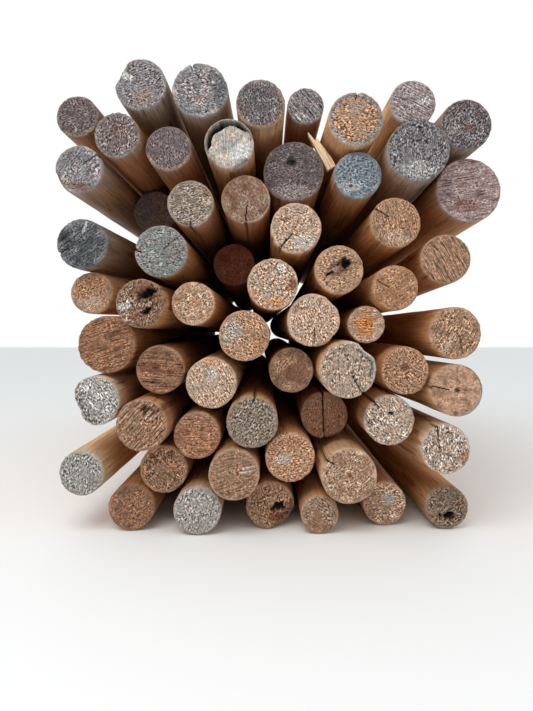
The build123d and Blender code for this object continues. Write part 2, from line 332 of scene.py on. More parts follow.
courseLooks["course_7"] = [
    look("slate", "ashGrey", "greySide", saw=(35, 0.8), light=0.84, marks=[
        streak((0.18, 0.98), (0, 0.4), 0.012, "bleached", 0.7),
        crack((-0.96, -0.38), (-0.5, -0.12), 0.004, 0.012, run=0.1),
    ]),
    look("dullBrown", "darkBrown", "brownSide", fleck=0.4, light=0.95),
    look("mossGrey", "pinkGrey", light=0.84, marks=[
        patch((0.55, 0), (0.5, 0.5), "warmGrey", 0.7),
        crack((-1, 0.05), (-0.75, -0.02), 0.006, 0.015, run=0.05),
        patch((-0.85, 0.02), (0.18, 0.08), "orangeTan", 0.7),
        crack((0.1, 0.1), (0.75, 0.62), 0.002, 0.006),
    ]),
    look("driftGrey", "pinkGrey", "brownSide", fleck=1.0, saw=(15, 0.6), light=0.98, marks=[
        streak((0.5, 0.05), (0.98, 0), 0.02, "cream", 0.8),
        crack((0, -0.75), (0.02, -0.98), 0.004, 0.015, run=0.35),
        patch((0.75, 0.5), (0.35, 0.35), "brown", 0.6),
    ]),
    look("redBrown", "darkBrown", "brownSide", fleck=0.4),
    look("brown", "driftGrey", "brownSide", fleck=0.5, rings=0.5, rough=0.8, light=0.86, marks=[
        band(0.07, "cream", middle=-30, spread=85),
        crack((0.05, -0.25), (0, -0.98), 0.004, run=0.4),
    ]),
    look("cream", "sand", fleck=0.9, rough=1.3, marks=[
        crack((-0.15, -0.22), (-0.62, -0.78), 0.005, run=0.15),
        patch((-0.4, 0.38), (0.16, 0.12), "darkBrown", 0.7),
        patch((0.3, -0.55), (0.6, 0.35), "bleached", 0.45),
        patch((-0.05, -0.05), (0.15, 0.15), "orangeTan", 0.6),
    ]),
    look("tan", "orangeTan", saw=(-75, 0.45), marks=[
        crack((-0.85, 0.6), (-0.25, 0.22), 0.004, 0.015, run=0.03),
        patch((0.1, -0.6), (0.7, 0.4), "cream", 0.6),
    ]),
]

courseLooks["course_8"] = [
    look("ashGrey", "pinkGrey", "greySide", fleck=0.9, marks=[
        crack((0.9, 0.72), (0.2, 0.25), 0.003, 0.015, run=0.05),
        patch((-0.3, 0.5), (0.7, 0.4), "slate", 0.35),
        patch((0.05, -0.75), (0.65, 0.24), "redBrown", 0.6),
        chip(-150, 0.14, 0.03),
        patch((-0.6, -0.5), (0.3, 0.14), "ochre", 0.7),
    ]),
    look("warmGrey", "pinkGrey", "brownSide", fleck=1.1, rough=2.0, light=0.95, marks=[
        band(0.1, "mossGrey", 0.7, middle=-60, spread=70),
        patch((0, 0.3), (0.5, 0.4), "redBrown", 0.3),
    ]),
    look("dullBrown", "warmGrey", "brownSide", fleck=0.9, marks=[
        band(0.14, "tan", middle=-100, spread=80),
        patch((0, 0.4), (0.7, 0.4), "dullBrown", 0.6),
    ]),
    look("paleGrey", "cream", fleck=0.3, saw=(92, 0.35), rough=0.9, marks=[
        hollow(112, 0.055, 0.3, 0.07),
        band(0.07, "slate", 0.95, middle=110, spread=110),
        patch((0.42, -0.35), (0.7, 0.42), "bleached", 1, 40),
        streak((0.02, 0.5), (0.05, 0), 0.004, "driftGrey", 0.8),
        chip(-60, 0.08, 0.02),
    ]),
    look("dullBrown", "warmGrey", rough=1.2, light=0.8, marks=[
        pocket((-0.06, 0.33), (0.22, 0.17), 0.03),
        patch((0, -0.7), (0.8, 0.35), "pinkGrey", 0.7),
        patch((-0.06, 0.1), (0.5, 0.4), "dullBrown", 0.6),
    ]),
    look("blueGrey", "blueGrey", saw=(-15, 0.3), rough=1.3, light=1.1, marks=[
        patch((-0.3, -0.5), (0.6, 0.32), "bleached", 0.4),
        pocket((-0.3, -0.45), (0.09, 0.05), 0.01, "slate"),
    ]),
    look("ashGrey", "dullBrown", "greySide", fleck=1.4, rough=2.0, marks=[
        patch((0, -0.65), (0.8, 0.4), "bleached", 0.4),
        band(0.1, "slate", 0.6, middle=90, spread=80),
    ]),
    look("pinkBrown", "pinkGrey", fleck=0.5, saw=(10, 0.8), light=0.97, marks=[
        patch((-0.1, -0.48), (0.62, 0.3), "redBrown", 0.55),
        band(0.08, "paleGrey", middle=-100, spread=60),
        streak((-0.3, 0.1), (-0.05, 0.65), 0.006, "cream", 0.6),
    ]),
]

courseLooks["course_9"] = [
    look("dullBrown", "warmGrey", "brownSide", fleck=0.9, light=0.88, marks=[
        band(0.12, "ochre", middle=-80, spread=60),
    ]),
    look("ashGrey", "dullBrown", "greySide", fleck=0.9, marks=[
        streak((-0.95, 0.6), (-0.25, 0.15), 0.024, "bleached", 0.9),
        chip(152, 0.15, 0.04),
        patch((0.1, -0.5), (0.7, 0.5), "tan", 0.25),
    ]),
    look("ashGrey", "pinkGrey", "greySide", fleck=1.0, saw=(-15, 0.4), rough=1.8, marks=[
        crack((-0.3, 1), (-0.28, 0.75), 0.006, 0.03, run=0.08),
        patch((0.75, 0.1), (0.35, 0.8), "slate", 0.7),
        patch((0, -0.3), (0.25, 0.2), "orangeTan", 0.4),
    ]),
    look("dullBrown", "ashGrey", "paleSide", fleck=1.1, rough=1.3, marks=[
        band(0.12, "tan", middle=-60, spread=120),
        patch((0, 0.1), (0.6, 0.6), "slate", 0.4),
    ]),
    look("ashGrey", "dullBrown", "brownSide", fleck=0.7, saw=(-52, 1.3), rough=1.4, light=1.08, marks=[
        crack((0, -0.05), (0.5, -0.65), 0.004, 0.015),
        patch((-0.3, -0.6), (0.5, 0.3), "bleached", 0.5),
    ]),
    look("sand", "orangeTan", "paleSide", fleck=1.0, rough=1.4, marks=[
        patch((0.1, 0.45), (0.5, 0.35), "pinkGrey", 0.5),
        band(0.19, "blueGrey", 0.95),
        band(0.16, "paleGrey", 0.7, middle=-110, spread=50),
        crack((0.04, 1), (0, 0.7), 0.005, 0.03, run=0.12),
        streak((0.04, 0.98), (0.01, 0.72), 0.005, "bleached", 0.9),
    ]),
    look("pinkGrey", "ashGrey", "brightSide", fleck=0.7, saw=(-28, 0.9), light=1.07, marks=[
        patch((0.55, 0.1), (0.4, 0.3), "bleached", 0.6, -30),
    ]),
    look("dullBrown", "ashGrey", "greySide", fleck=1.4, rough=1.6, marks=[
        patch((0.1, -0.1), (0.25, 0.25), "redBrown", 0.4),
        patch((-0.5, -0.2), (0.4, 0.3), "paleGrey", 0.4),
    ]),
]

blankLog = {
    "faceCells": 52,  # across a front end
    "backCells": 28,  # across a back end
    "around": 64,  # columns round the side
    "length": 3.0,
    "bruise": 0.004,  # crushed edge at both ends
    "nearStep": 0.022,  # rows close to the front end
    "nearRows": 14,
    "farStep": 0.052,  # rows further back
    "same": 0.000001,  # heights closer than this are one
}


def toDisc(vert):
    a, b = vert.co.x, vert.co.y
    vert.co.x = a * math.sqrt(1 - b * b / 2)
    vert.co.y = b * math.sqrt(1 - a * a / 2)


def addEnd(blank, cells, height):
    # a square grid pulled round to a disc, with cells of about one size all over
    made = bmesh.ops.create_grid(blank, x_segments=cells, y_segments=cells, size=1)
    for vert in made["verts"]:
        toDisc(vert)
        vert.co.z = height
    edges = {edge for vert in made["verts"] for edge in vert.link_edges if edge.is_boundary}
    return list(edges)


def stations():
    # heights of the rows along the side, close together near the front end
    near = [blankLog["bruise"] + blankLog["nearStep"] * row for row in range(blankLog["nearRows"] + 1)]
    last = blankLog["length"] - blankLog["bruise"]
    rows = round((last - near[-1]) / blankLog["farStep"])
    return near + [near[-1] + (last - near[-1]) * (row + 1) / rows for row in range(rows)]


def isUpright(edge):
    return abs(edge.verts[0].co.z - edge.verts[1].co.z) > 0.5


def isOnWall(vert):
    # the wall is made one high about the origin and one in radius
    return abs(vert.co.z) < 0.51 and abs(math.hypot(vert.co.x, vert.co.y) - 1) < 0.0001


def addSide(blank, frontEdges, rows):
    # a wall cut into even rows, which then go to their heights
    cone = bmesh.ops.create_cone(
        blank, cap_ends=False, segments=blankLog["around"], radius1=1, radius2=1, depth=1
    )
    upright = {edge for vert in cone["verts"] for edge in vert.link_edges if isUpright(edge)}
    bmesh.ops.subdivide_edges(blank, edges=list(upright), cuts=len(rows) - 2, use_grid_fill=True)
    frontRim = {vert for edge in frontEdges for vert in edge.verts}
    wall = [vert for vert in blank.verts if isOnWall(vert) and vert not in frontRim]
    for vert in wall:
        vert.co.z = rows[round((vert.co.z + 0.5) * (len(rows) - 1))]
    return wall


def rimOf(wall, height):
    rim = [vert for vert in wall if abs(vert.co.z - height) < blankLog["same"]]
    return list({edge for vert in rim for edge in vert.link_edges if edge.is_boundary})


def makeBlank():
    # a log of unit radius along Z: two fine ends and a side of rings
    blank = bmesh.new()
    frontEdges = addEnd(blank, blankLog["faceCells"], 0)
    backEdges = addEnd(blank, blankLog["backCells"], blankLog["length"])
    rows = stations()
    wall = addSide(blank, frontEdges, rows)
    bmesh.ops.bridge_loops(blank, edges=frontEdges + rimOf(wall, rows[0]))
    bmesh.ops.bridge_loops(blank, edges=backEdges + rimOf(wall, rows[-1]))
    bmesh.ops.recalc_face_normals(blank, faces=blank.faces)
    bmesh.ops.reverse_faces(blank, faces=blank.faces)  # placesOf swaps two axes, which turns them back
    low, high = blankLog["same"], blankLog["length"] - blankLog["same"]
    for face in blank.faces:
        face.material_index = 1 if low < face.calc_center_median().z < high else 0
        face.smooth = True
    mesh = bpy.data.meshes.new("blank")
    blank.to_mesh(mesh)
    blank.free()
    return mesh


blankMesh = makeBlank()
blankPlaces = np.zeros(len(blankMesh.vertices) * 3)
blankMesh.vertices.foreach_get("co", blankPlaces)
blankPlaces = blankPlaces.reshape(-1, 3)
print("blank log:", len(blankMesh.vertices), "points")


# Where each log of a course lies, read from the frame's own solids.
sections = {
    "plain": 0.335,  # behind the foremost point, past every crack
    "half": 0.45,  # share of the length
    "end": 0.05,  # before the back end
    "sawn": 0.02,  # depth within which a face belongs to the saw cut
    "facing": 0.9,  # how squarely such a face looks forward
    "same": 0.00001,  # points closer than this are one
    "straight": 0.00001,  # a smaller taper counts as none
}


def sectionCircle(places, edges, level):
    first, second = places[edges[:, 0]], places[edges[:, 1]]
    crossing = (first[:, 1] - level) * (second[:, 1] - level) < 0
    first, second = first[crossing], second[crossing]
    share = (level - first[:, 1]) / (second[:, 1] - first[:, 1])
    points = first + (second - first) * share[:, None]
    x, z = points[:, 0], points[:, 2]
    terms = np.column_stack((2 * x, 2 * z, np.ones(len(x))))
    middleX, middleZ, rest = np.linalg.lstsq(terms, x * x + z * z, rcond=None)[0]
    return np.array((middleX, middleZ)), math.sqrt(rest + middleX**2 + middleZ**2)


def islandsOf(solid):
    found, seen = [], set()
    for start in solid.verts:
        if start in seen:
            continue
        island, waiting = [], [start]
        seen.add(start)
        while waiting:
            vert = waiting.pop()
            island.append(vert)
            for edge in vert.link_edges:
                other = edge.other_vert(vert)
                if other not in seen:
                    seen.add(other)
                    waiting.append(other)
        found.append(island)
    return found


def sawCut(island, low):
    # how far forward the middle of the sawn end lies, and its slope to the right and up
    sawn = {face for vert in island for face in vert.link_faces if face.normal.y < -sections["facing"]}
    sawn = [face for face in sawn if face.calc_center_median().y < low + sections["sawn"]]
    areas = np.array([face.calc_area() for face in sawn])
    normal = (np.array([face.normal for face in sawn]) * areas[:, None]).sum(axis=0)
    centres = np.array([face.calc_center_median() for face in sawn])
    middle = (centres * areas[:, None]).sum(axis=0) / areas.sum()
    return middle[1], (-normal[0] / normal[1], -normal[2] / normal[1])


def measureLog(island):
    number = {vert: count for count, vert in enumerate(island)}
    places = np.array([vert.co for vert in island])
    linked = {edge for vert in island for edge in vert.link_edges}
    edges = np.array([[number[vert] for vert in edge.verts] for edge in linked])
    low, high = places[:, 1].min(), places[:, 1].max()
    levels = low + sections["plain"], low + sections["half"] * (high - low), high - sections["end"]
    (plainMiddle, plainRadius), (_, halfRadius), (backMiddle, backRadius) = (
        sectionCircle(places, edges, level) for level in levels
    )
    lean = (backMiddle - plainMiddle) / (levels[2] - levels[0])
    taper = (backRadius - halfRadius) / (levels[2] - levels[1])
    tapered = abs(taper) > sections["straight"]
    front, slope = sawCut(island, low)
    return record(
        front=front,
        length=high - front,
        middle=plainMiddle + lean * (front - levels[0]),
        lean=lean,
        radius=plainRadius,
        taper=taper,
        plain=(plainRadius - halfRadius) / taper + levels[1] - front if tapered else 0,
        slope=slope,
    )


def measureCourse(node):
    solid = bmesh.new()
    solid.from_mesh(frame["nodes"][node].data)
    bmesh.ops.remove_doubles(solid, verts=solid.verts, dist=sections["same"])
    logs = [measureLog(island) for island in islandsOf(solid)]
    solid.free()
    return sorted(logs, key=lambda log: log.middle[0])


# How one log is shaped and toned, in metres unless a note says otherwise.
relief = {
    "faceCell": 0.0036,  # spacing of the points on an end
    "sideCell": 0.0095,
    "fleckSize": 0.0062,  # across the way of the saw
    "fleckLength": 0.0095,
    "fleckDepth": 0.0032,
    "wanderSize": 0.018,
    "cloudSize": 0.034,
    "cloudRun": 3,  # patterns in a metre along the log
    "spotSize": 0.013,
    "spotRun": 9,
    "rimTear": 0.0032,  # depth of the teeth round a rim
    "rimTooth": 0.009,
    "sawLength": 0.055,
    "sawPitch": 0.0065,
    "sawDepth": 0.0016,
    "sawTurn": 37,  # degrees from log to log, where a look names no way of the saw
    "sawFaint": 0.25,  # strength of the ridges there
    "swellSize": 0.05,
    "swellDepth": 0.002,
    "outOfRound": 0.03,  # share of the radius
    "lobes": 1.1,  # patterns in a radius
    "sideDent": 0.0022,
    "dent": (1.6, 5, 0.6),  # patterns in a radius and in a metre along, and their share
    "ripple": (5, 2, 0.4),
    "squareAgain": 0.1,  # the slope of the saw cut dies out over this much of the side
    "apart": 10,  # from the grain of one log to that of the next
}

# What each pattern adds to a log's number, so that no two share their noise.
seedOf = {
    "fleck": 0,
    "round": 0.1,
    "dent": 0.2,
    "cloud": 0.3,
    "tooth": 0.35,
    "spot": 0.4,
    "wander": 0.5,
    "ripple": 0.6,
    "saw": 0.7,
    "side": 0.8,
    "swell": 0.9,
    "step": 17.3,  # from one whole seed to the next
}


def noiseOn(number, pattern, *columns):
    # smooth noise from -1 to 1 at points given in units of the pattern
    rise = (number + seedOf[pattern]) * seedOf["step"]
    return np.array([noise.noise((x, y, z + rise)) for x, y, z in np.column_stack(columns)])


def smooth(value):
    value = np.clip(value, 0, 1)
    return value * value * (3 - 2 * value)


def fromMiddle(log):
    return np.hypot(log.flat[:, 0], log.flat[:, 1])


def rotated(points, degrees):
    turn = math.radians(degrees)
    a = points[:, 0] * math.cos(turn) + points[:, 1] * math.sin(turn)
    b = points[:, 1] * math.cos(turn) - points[:, 0] * math.sin(turn)
    return a, b


def fromLine(points, start, end):
    # across and along a line, along as a share of its length, and the way across
    start, end = np.array(start), np.array(end)
    run = end - start
    length = np.hypot(*run)
    run = run / length
    gap = points - start
    return gap[:, 0] * -run[1] + gap[:, 1] * run[0], gap @ run / length, np.array((-run[1], run[0]))


def fromSpot(points, mark):
    # 0 in the middle of a spot and 1 at its edge
    a, b = rotated(points - np.array(mark.centre), mark.turn)
    return np.hypot(a / mark.size[0], b / mark.size[1])


def fromBearing(points, mark):
    # 0 on the bearing of a mark and 1 where it ends
    bearing = np.degrees(np.arctan2(points[:, 1], points[:, 0]))
    away = (bearing - mark.middle + 180) % 360 - 180
    return np.abs(away) / mark.spread


def blend(log, tone, share):
    log.tone += (toneOf[tone] - log.tone) * share[:, None]


# Cracks. Shares are of their own length, width or depth.
cracks = {
    "wander": 0.02,  # share of the radius
    "overrun": 0.06,  # how far they start before their start
    "closing": 0.25,  # the last part, where they close
    "narrowest": 0.2,
    "rim": 0.93,  # past this share of the radius they run on along the side
    "sway": 0.04,  # radians to either side
    "swayWaves": 9,  # radians in a metre
    "sideDepth": 0.6,
    # painted shade in the split along the side, as a share of that in a crack on an end
    "sideDark": 0.9,
}


def parted(across, cell, half):
    # the points nearest a crack go to its bottom, and the next ones to its lips
    size, near, far = np.abs(across), cell / 2, 1.5 * cell
    lips = half + (size - near) / cell * (far - half)
    moved = np.where(size < near, 0, np.where(size < far, lips, size))
    return np.sign(across) * moved, (size < near).astype(float)


def applyCrack(log, mark):
    across, along, out = fromLine(log.flat, mark.start, mark.end)
    across = across + log.wander * cracks["wander"]
    inside = log.isFace & (along > -cracks["overrun"]) & (along < 1.0)
    closing = np.clip(1 + cracks["closing"] - along, cracks["narrowest"], 1)
    half = mark.width / log.radius / 2 * closing
    moved, opened = parted(across, relief["faceCell"] / log.radius, half)
    shift = np.where(inside, moved - across, 0)
    log.flat += shift[:, None] * out
    opened = np.where(inside, opened, 0)
    log.depth += opened * mark.depth
    # Painted shade: the points at the bottom of the crack are marked to go near black.
    log.dark = np.maximum(log.dark, opened)
    for end in (mark.start, mark.end):
        if mark.run and math.hypot(*end) >= cracks["rim"]:
            applySplit(log, mark, end)


def applySplit(log, mark, end):
    # the crack goes on along the side of the log
    here = np.arctan2(log.flat[:, 1], log.flat[:, 0])
    away = (here - math.atan2(end[1], end[0]) + math.pi) % (2 * math.pi) - math.pi
    away = away + cracks["sway"] * np.sin(log.along * cracks["swayWaves"] + log.number)
    fade = np.clip(1 - log.along / mark.run, 0, 1)
    half = mark.width / log.radius / 2 * fade
    moved, opened = parted(away, relief["sideCell"] / log.radius, half)
    inside = log.isSide & (fade > 0)
    turn = np.where(inside, moved - away, 0)
    a, b = log.flat[:, 0].copy(), log.flat[:, 1].copy()
    log.flat[:, 0] = a * np.cos(turn) - b * np.sin(turn)
    log.flat[:, 1] = a * np.sin(turn) + b * np.cos(turn)
    opened = np.where(inside, opened * np.sqrt(fade), 0)
    log.sink += opened * mark.depth * cracks["sideDepth"]
    # Painted shade along the split on the side.
    log.dark = np.maximum(log.dark, opened * cracks["sideDark"])


# The other marks. Outlines stray with the wood and fray with the fibres, by shares of their size.
outlines = {
    "pocket": (0.7, 0.3, 2.5),  # strays, frays, and how steeply it fades in
    "pocketFloor": (0.7, 0.5),  # its mean depth as a share, and what the fibres change
    "chip": (0.25, 0.3),
    "flat": 0.4,  # metres along the side
    "patch": (0.4, 2),  # strays, and how steeply it fades in
    "streak": (0.5, 8, 4),  # strays, and how steeply its start and its end fade
    "band": (0.25, 0.06, 4),  # strays, and how its inside and its two ends fade
    "bandCover": (0.75, 0.6),  # its mean strength, and what the fibres change
    "hollow": (0.16, 0.03),  # strays, broadly and finely
    "hollowEdge": (0.03, 0.05, 1.5),  # how it fades to the skin and to the heart, and how dark it is
}


def applyPocket(log, mark):
    stray, fray, slope = outlines["pocket"]
    ragged = 1 + stray * log.wander + fray * log.fleck
    opened = smooth(np.where(log.isFace, 1 - fromSpot(log.flat, mark) * ragged, 0) * slope)
    level, change = outlines["pocketFloor"]
    log.depth += opened * mark.depth * (level + change * log.fleck)
    # The pocket's tone fills its recess as deep as it opens: near black there is rot with painted
    # shade.
    blend(log, mark.tone, opened)


def applyChip(log, mark):
    # a corner broken off along a ragged slope
    stray, fray = outlines["chip"]
    towards, _ = rotated(log.flat, mark.facing)
    share = (towards - 1 + mark.reach * (1 + stray * log.wander)) / mark.reach
    broken = np.clip(share, 0, 1) * mark.depth * (1 + fray * log.fleck)
    log.depth += np.where(log.isSide, np.clip(broken - log.along, 0, None), 0)
    log.depth += np.where(log.isFace, broken, 0)


def applyFlat(log, mark):
    share = smooth(1 - fromBearing(log.flat, mark)) * np.exp(-log.along / outlines["flat"])
    log.sink += share * mark.depth


def blendEnd(log, mark, share):
    blend(log, mark.tone, np.where(log.isFace, share * mark.strength, 0))


def applyPatch(log, mark):
    stray, slope = outlines["patch"]
    edge = 1 - fromSpot(log.flat, mark) * (1 + stray * log.wander)
    blendEnd(log, mark, smooth(edge * slope))


def applyStreak(log, mark):
    stray, start, end = outlines["streak"]
    across, along, _ = fromLine(log.flat, mark.start, mark.end)
    half = mark.width / log.radius / 2 * (1 + stray * log.wander)
    edge = smooth((half - np.abs(across)) / (relief["faceCell"] / log.radius) + 0.5)
    blendEnd(log, mark, edge * smooth(along * start) * smooth((1 - along) * end))


def applyBand(log, mark):
    stray, inside, ends = outlines["band"]
    level, change = outlines["bandCover"]
    rim = fromMiddle(log) - 1 + mark.width * (1 + stray * log.wander)
    fade = 1 if mark.spread >= 180 else smooth((1 - fromBearing(log.flat, mark)) * ends)
    blendEnd(log, mark, smooth(rim / inside) * fade * np.clip(level + change * log.fleck, 0, 1))


def applyHollow(log, mark):
    # a crescent rotted out behind a thin shell of the skin
    broad, fine = outlines["hollow"]
    toSkin, toHeart, darkness = outlines["hollowEdge"]
    facing = math.radians(mark.facing)
    inside = 1 - mark.skin
    heart = log.flat + np.array((math.cos(facing), math.sin(facing))) * mark.width
    ragged = broad * log.cloud + fine * log.wander
    inSkin = smooth((inside - fromMiddle(log)) / toSkin + 0.5)
    outOfHeart = smooth((np.hypot(heart[:, 0], heart[:, 1]) + ragged - inside) / toHeart)
    opened = np.where(log.isFace, inSkin * outOfHeart, 0)
    log.depth += opened * mark.depth
    # Painted shade together with rot: the hollow goes near black inside.
    log.dark = np.maximum(log.dark, smooth(opened * darkness))


applyMark = {
    "hollow": applyHollow,
    "crack": applyCrack,
    "pocket": applyPocket,
    "patch": applyPatch,
    "streak": applyStreak,
    "band": applyBand,
    "chip": applyChip,
    "flat": applyFlat,
}


def startLog(place, number, style):
    flatPlaces, height = blankPlaces[:, :2].copy(), blankPlaces[:, 2]
    along = height / blankLog["length"] * place.length
    none = np.zeros(len(along))
    saw = style.saw or (number * relief["sawTurn"] % 180, relief["sawFaint"])
    inMetres = np.column_stack((flatPlaces * place.radius, none))
    alongSaw, acrossSaw = rotated(inMetres, saw[0])
    fleckPlaces = alongSaw / relief["fleckLength"], acrossSaw / relief["fleckSize"], none
    behind = along[:, None]
    return record(
        number=number,
        saw=saw,
        radius=place.radius,
        flat=flatPlaces,
        along=along,
        isFace=height == 0,
        isBack=height == blankLog["length"],
        isSide=(height != 0) & (height != blankLog["length"]),
        depth=none.copy(),  # how far a point of an end goes into the log
        sink=none.copy(),  # how far a point of the side goes towards the middle
        dark=none.copy(),
        fleck=noiseOn(number, "fleck", *fleckPlaces),
        wander=noiseOn(number, "wander", inMetres / relief["wanderSize"]),
        cloud=noiseOn(number, "cloud", inMetres / relief["cloudSize"] + behind * relief["cloudRun"]),
        spot=noiseOn(number, "spot", inMetres / relief["spotSize"] + behind * relief["spotRun"]),
    )


toneMix = {
    "broad": 0.9,  # share of the clouds in where the second tone of an end lies
    "small": 0.3,  # share of the spots
    "lift": 0.45,  # a higher one gives more of the second tone
    "endMost": 0.6,
    "sidePattern": (1.3, 2.2),  # patterns in a radius, and in a metre along
    "sideLift": 0.35,
    "sideMost": 0.5,  # most that honey covers of the side's own tone
    "weathered": 0.05,  # metres that the tone of an end runs on along the side
    "weatherStray": 0.6,
    "weatherMost": 0.8,
    # Painted shade: the bottom of each crack and hollow is blended towards near black.
    "rot": 0.92,  # how black the bottom of a crack or hollow gets
}


def mixTones(log, style):
    clouds = log.cloud * toneMix["broad"] + log.spot * toneMix["small"] + toneMix["lift"]
    share = toneMix["endMost"] * smooth(clouds)[:, None]
    endTone = toneOf[style.face] * (1 - share) + toneOf[style.mark] * share
    around, down = toneMix["sidePattern"]
    honey = noiseOn(log.number, "side", log.flat * around, log.along * down)
    share = smooth(honey + toneMix["sideLift"])[:, None] * toneMix["sideMost"]
    sideTone = toneOf[style.side] * (1 - share) + toneOf["honeySide"] * share
    run = toneMix["weathered"] * (1 + toneMix["weatherStray"] * log.spot)
    share = np.exp(-log.along / run)[:, None] * toneMix["weatherMost"]
    sideTone = sideTone * (1 - share) + endTone * share
    log.tone = np.where(log.isSide[:, None], sideTone, endTone)


fibres = {
    "smoothRim": 0.88,  # share of the radius past which the fibres are torn less
    "rimLoss": (0.2, 0.6, 0.37),  # least share lost there, how much more at most, step from log to log
    "rimStray": 0.15,
    "rimWidth": 0.1,
    "torn": (1.05, 1.1),  # mean, and what the clouds change
    "tornRange": (0.1, 1.6),
    "pit": (0.5, 0.95),  # mean, and what the flecks change
    "pitLeast": 0.25,
    # Painted shade and light: pits deeper than this are painted darker, and shallower places lighter.
    "pitEven": 0.4,  # a pit of this depth keeps its tone
    "pitShade": 0.95,  # how much darker a deep pit is
    "shadeRange": (0.2, 1.5),
    "cloudShade": 0.45,
    "sawnClouds": 1.2,  # how much the clouds hide the marks of the saw
    "sawnRange": (0.2, 1.6),
}


def tearFibres(log, style):
    # how torn each place of an end is, how deep its pit is, and how dark that makes it: painted shade
    # in the deeper pits and painted light on the shallower places
    least, most, step = fibres["rimLoss"]
    past = fromMiddle(log) + fibres["rimStray"] * log.cloud - fibres["smoothRim"]
    kept = 1 - (least + log.number * step % most) * smooth(past / fibres["rimWidth"])
    mean, change = fibres["torn"]
    log.torn = np.clip(style.fleck * kept * (mean + change * log.cloud), *fibres["tornRange"])
    mean, change = fibres["pit"]
    log.pit = np.clip(mean + change * log.fleck, 0, 1) * np.clip(log.torn, fibres["pitLeast"], 1)
    shade = 1 + fibres["pitShade"] * log.torn * (fibres["pitEven"] - log.pit)
    shade = np.clip(shade, *fibres["shadeRange"]) * (1 + fibres["cloudShade"] * log.cloud)
    log.tone *= np.where(log.isSide, 1, shade * style.light)[:, None]


teeth = {
    "along": 0.01,  # metres that they reach along the side
    "rim": 0.93,  # share of the radius where they start on an end
    "rimWidth": 0.07,
    "lift": 0.3,  # a higher one gives more teeth
    "onEnd": 0.8,  # their depth on an end, as a share of that on the side
}


def roughenEnd(log, style):
    # teeth round the rim, torn fibres, saw ridges and a slow swell
    number, none = log.number, 0 * log.along
    points = log.flat * log.radius
    alongSaw, acrossSaw = rotated(points, log.saw[0])
    saw = noiseOn(number, "saw", alongSaw / relief["sawLength"], acrossSaw / relief["sawPitch"], none)
    swell = noiseOn(number, "swell", points / relief["swellSize"], none)
    tooth = noiseOn(number, "tooth", points / relief["rimTooth"], none)
    onSide = np.exp(-log.along / teeth["along"])
    atRim = np.where(log.isSide, onSide, smooth((fromMiddle(log) - teeth["rim"]) / teeth["rimWidth"]))
    torn = relief["rimTear"] * style.rough * np.clip(teeth["lift"] + tooth, 0, 1) * atRim
    log.sink += torn
    onEnd = (
        torn * teeth["onEnd"]
        + relief["fleckDepth"] * style.rough * log.pit
        + relief["sawDepth"] * log.saw[1] * (0.5 + 0.5 * saw)
        + relief["swellDepth"] * (0.5 + 0.5 * swell)
    )
    log.depth += np.where(log.isSide, 0, onEnd)


def dentSide(log):
    # shallow dents and ripples along the side, and a section that isn't quite round
    sunk = 1
    for pattern in ("dent", "ripple"):
        around, down, share = relief[pattern]
        sunk = sunk + share * noiseOn(log.number, pattern, log.flat * around, log.along * down)
    log.sink += relief["sideDent"] * sunk
    bearing = np.arctan2(log.flat[:, 1], log.flat[:, 0])
    lobes = np.column_stack((np.cos(bearing), np.sin(bearing), 0 * bearing)) * relief["lobes"]
    uneven = 0.5 + 0.5 * noiseOn(log.number, "round", lobes)
    log.sink += log.radius * relief["outOfRound"] * uneven


def placesOf(log, place):
    # every point in the frame, and on the log itself
    reach = log.radius + place.taper * np.clip(log.along - place.plain, 0, None)
    lip = np.where(log.isSide, 0, blankLog["bruise"])
    scale = (reach - lip) - log.sink * np.clip(fromMiddle(log), 0, 1)
    a, b = log.flat[:, 0] * scale, log.flat[:, 1] * scale
    inward = np.where(log.isBack, -1, 1) * log.depth
    sloped = np.clip(1 - log.along / relief["squareAgain"], 0, 1)
    tilt = (a * place.slope[0] + b * place.slope[1]) * sloped
    x = place.middle[0] + place.lean[0] * log.along + a
    z = place.middle[1] + place.lean[1] * log.along + b
    y = place.front + log.along + tilt + inward
    return np.column_stack((x, y, z)), np.column_stack((a, b, log.along))


def addObject(name, data, location=(0, 0, 0)):
    made = bpy.data.objects.new(name, data)
    made.location = location
    bpy.context.scene.collection.objects.link(made)
    return made


def setAttribute(mesh, name, *columns):
    values = np.column_stack(columns)
    kind = "color" if values.shape[1] == 4 else "vector"
    attribute = mesh.attributes.new(name, "FLOAT_" + kind.upper(), "POINT")
    attribute.data.foreach_set(kind, values.ravel())


def makeLog(place, number, style):
    log = startLog(place, number, style)
    mixTones(log, style)
    tearFibres(log, style)
    roughenEnd(log, style)
    dentSide(log)
    for mark in style.marks:
        applyMark[mark.kind](log, mark)
    # Painted shade: the bottoms of cracks and hollows go near black, with rot in the hollows.
    blend(log, "rot", log.dark * toneMix["rot"])
    places, own = placesOf(log, place)
    mesh = blankMesh.copy()
    mesh.vertices.foreach_set("co", places.ravel())
    own[:, 2] += number * relief["apart"]
    ones = np.ones(len(own))
    sawn = log.saw[1] * np.clip(1 - fibres["sawnClouds"] * log.cloud, *fibres["sawnRange"])
    setAttribute(mesh, "grainPlace", own)
    setAttribute(mesh, "sawPlace", *rotated(own, log.saw[0]), ones * number)
    setAttribute(mesh, "woodTone", log.tone, ones)
    setAttribute(mesh, "traits", log.torn, sawn, ones * style.rings)
    mesh.update()
    return addObject(f"log_{number}", mesh)


# Materials. A noise is given by its waves in a metre, its detail and its roughness, and a range
# by the two values it runs between and what they become.
def startMaterial(name):
    material = bpy.data.materials.new(name)
    material.use_nodes = True
    tree = material.node_tree
    shader = tree.nodes["Principled BSDF"]
    return material, tree, shader


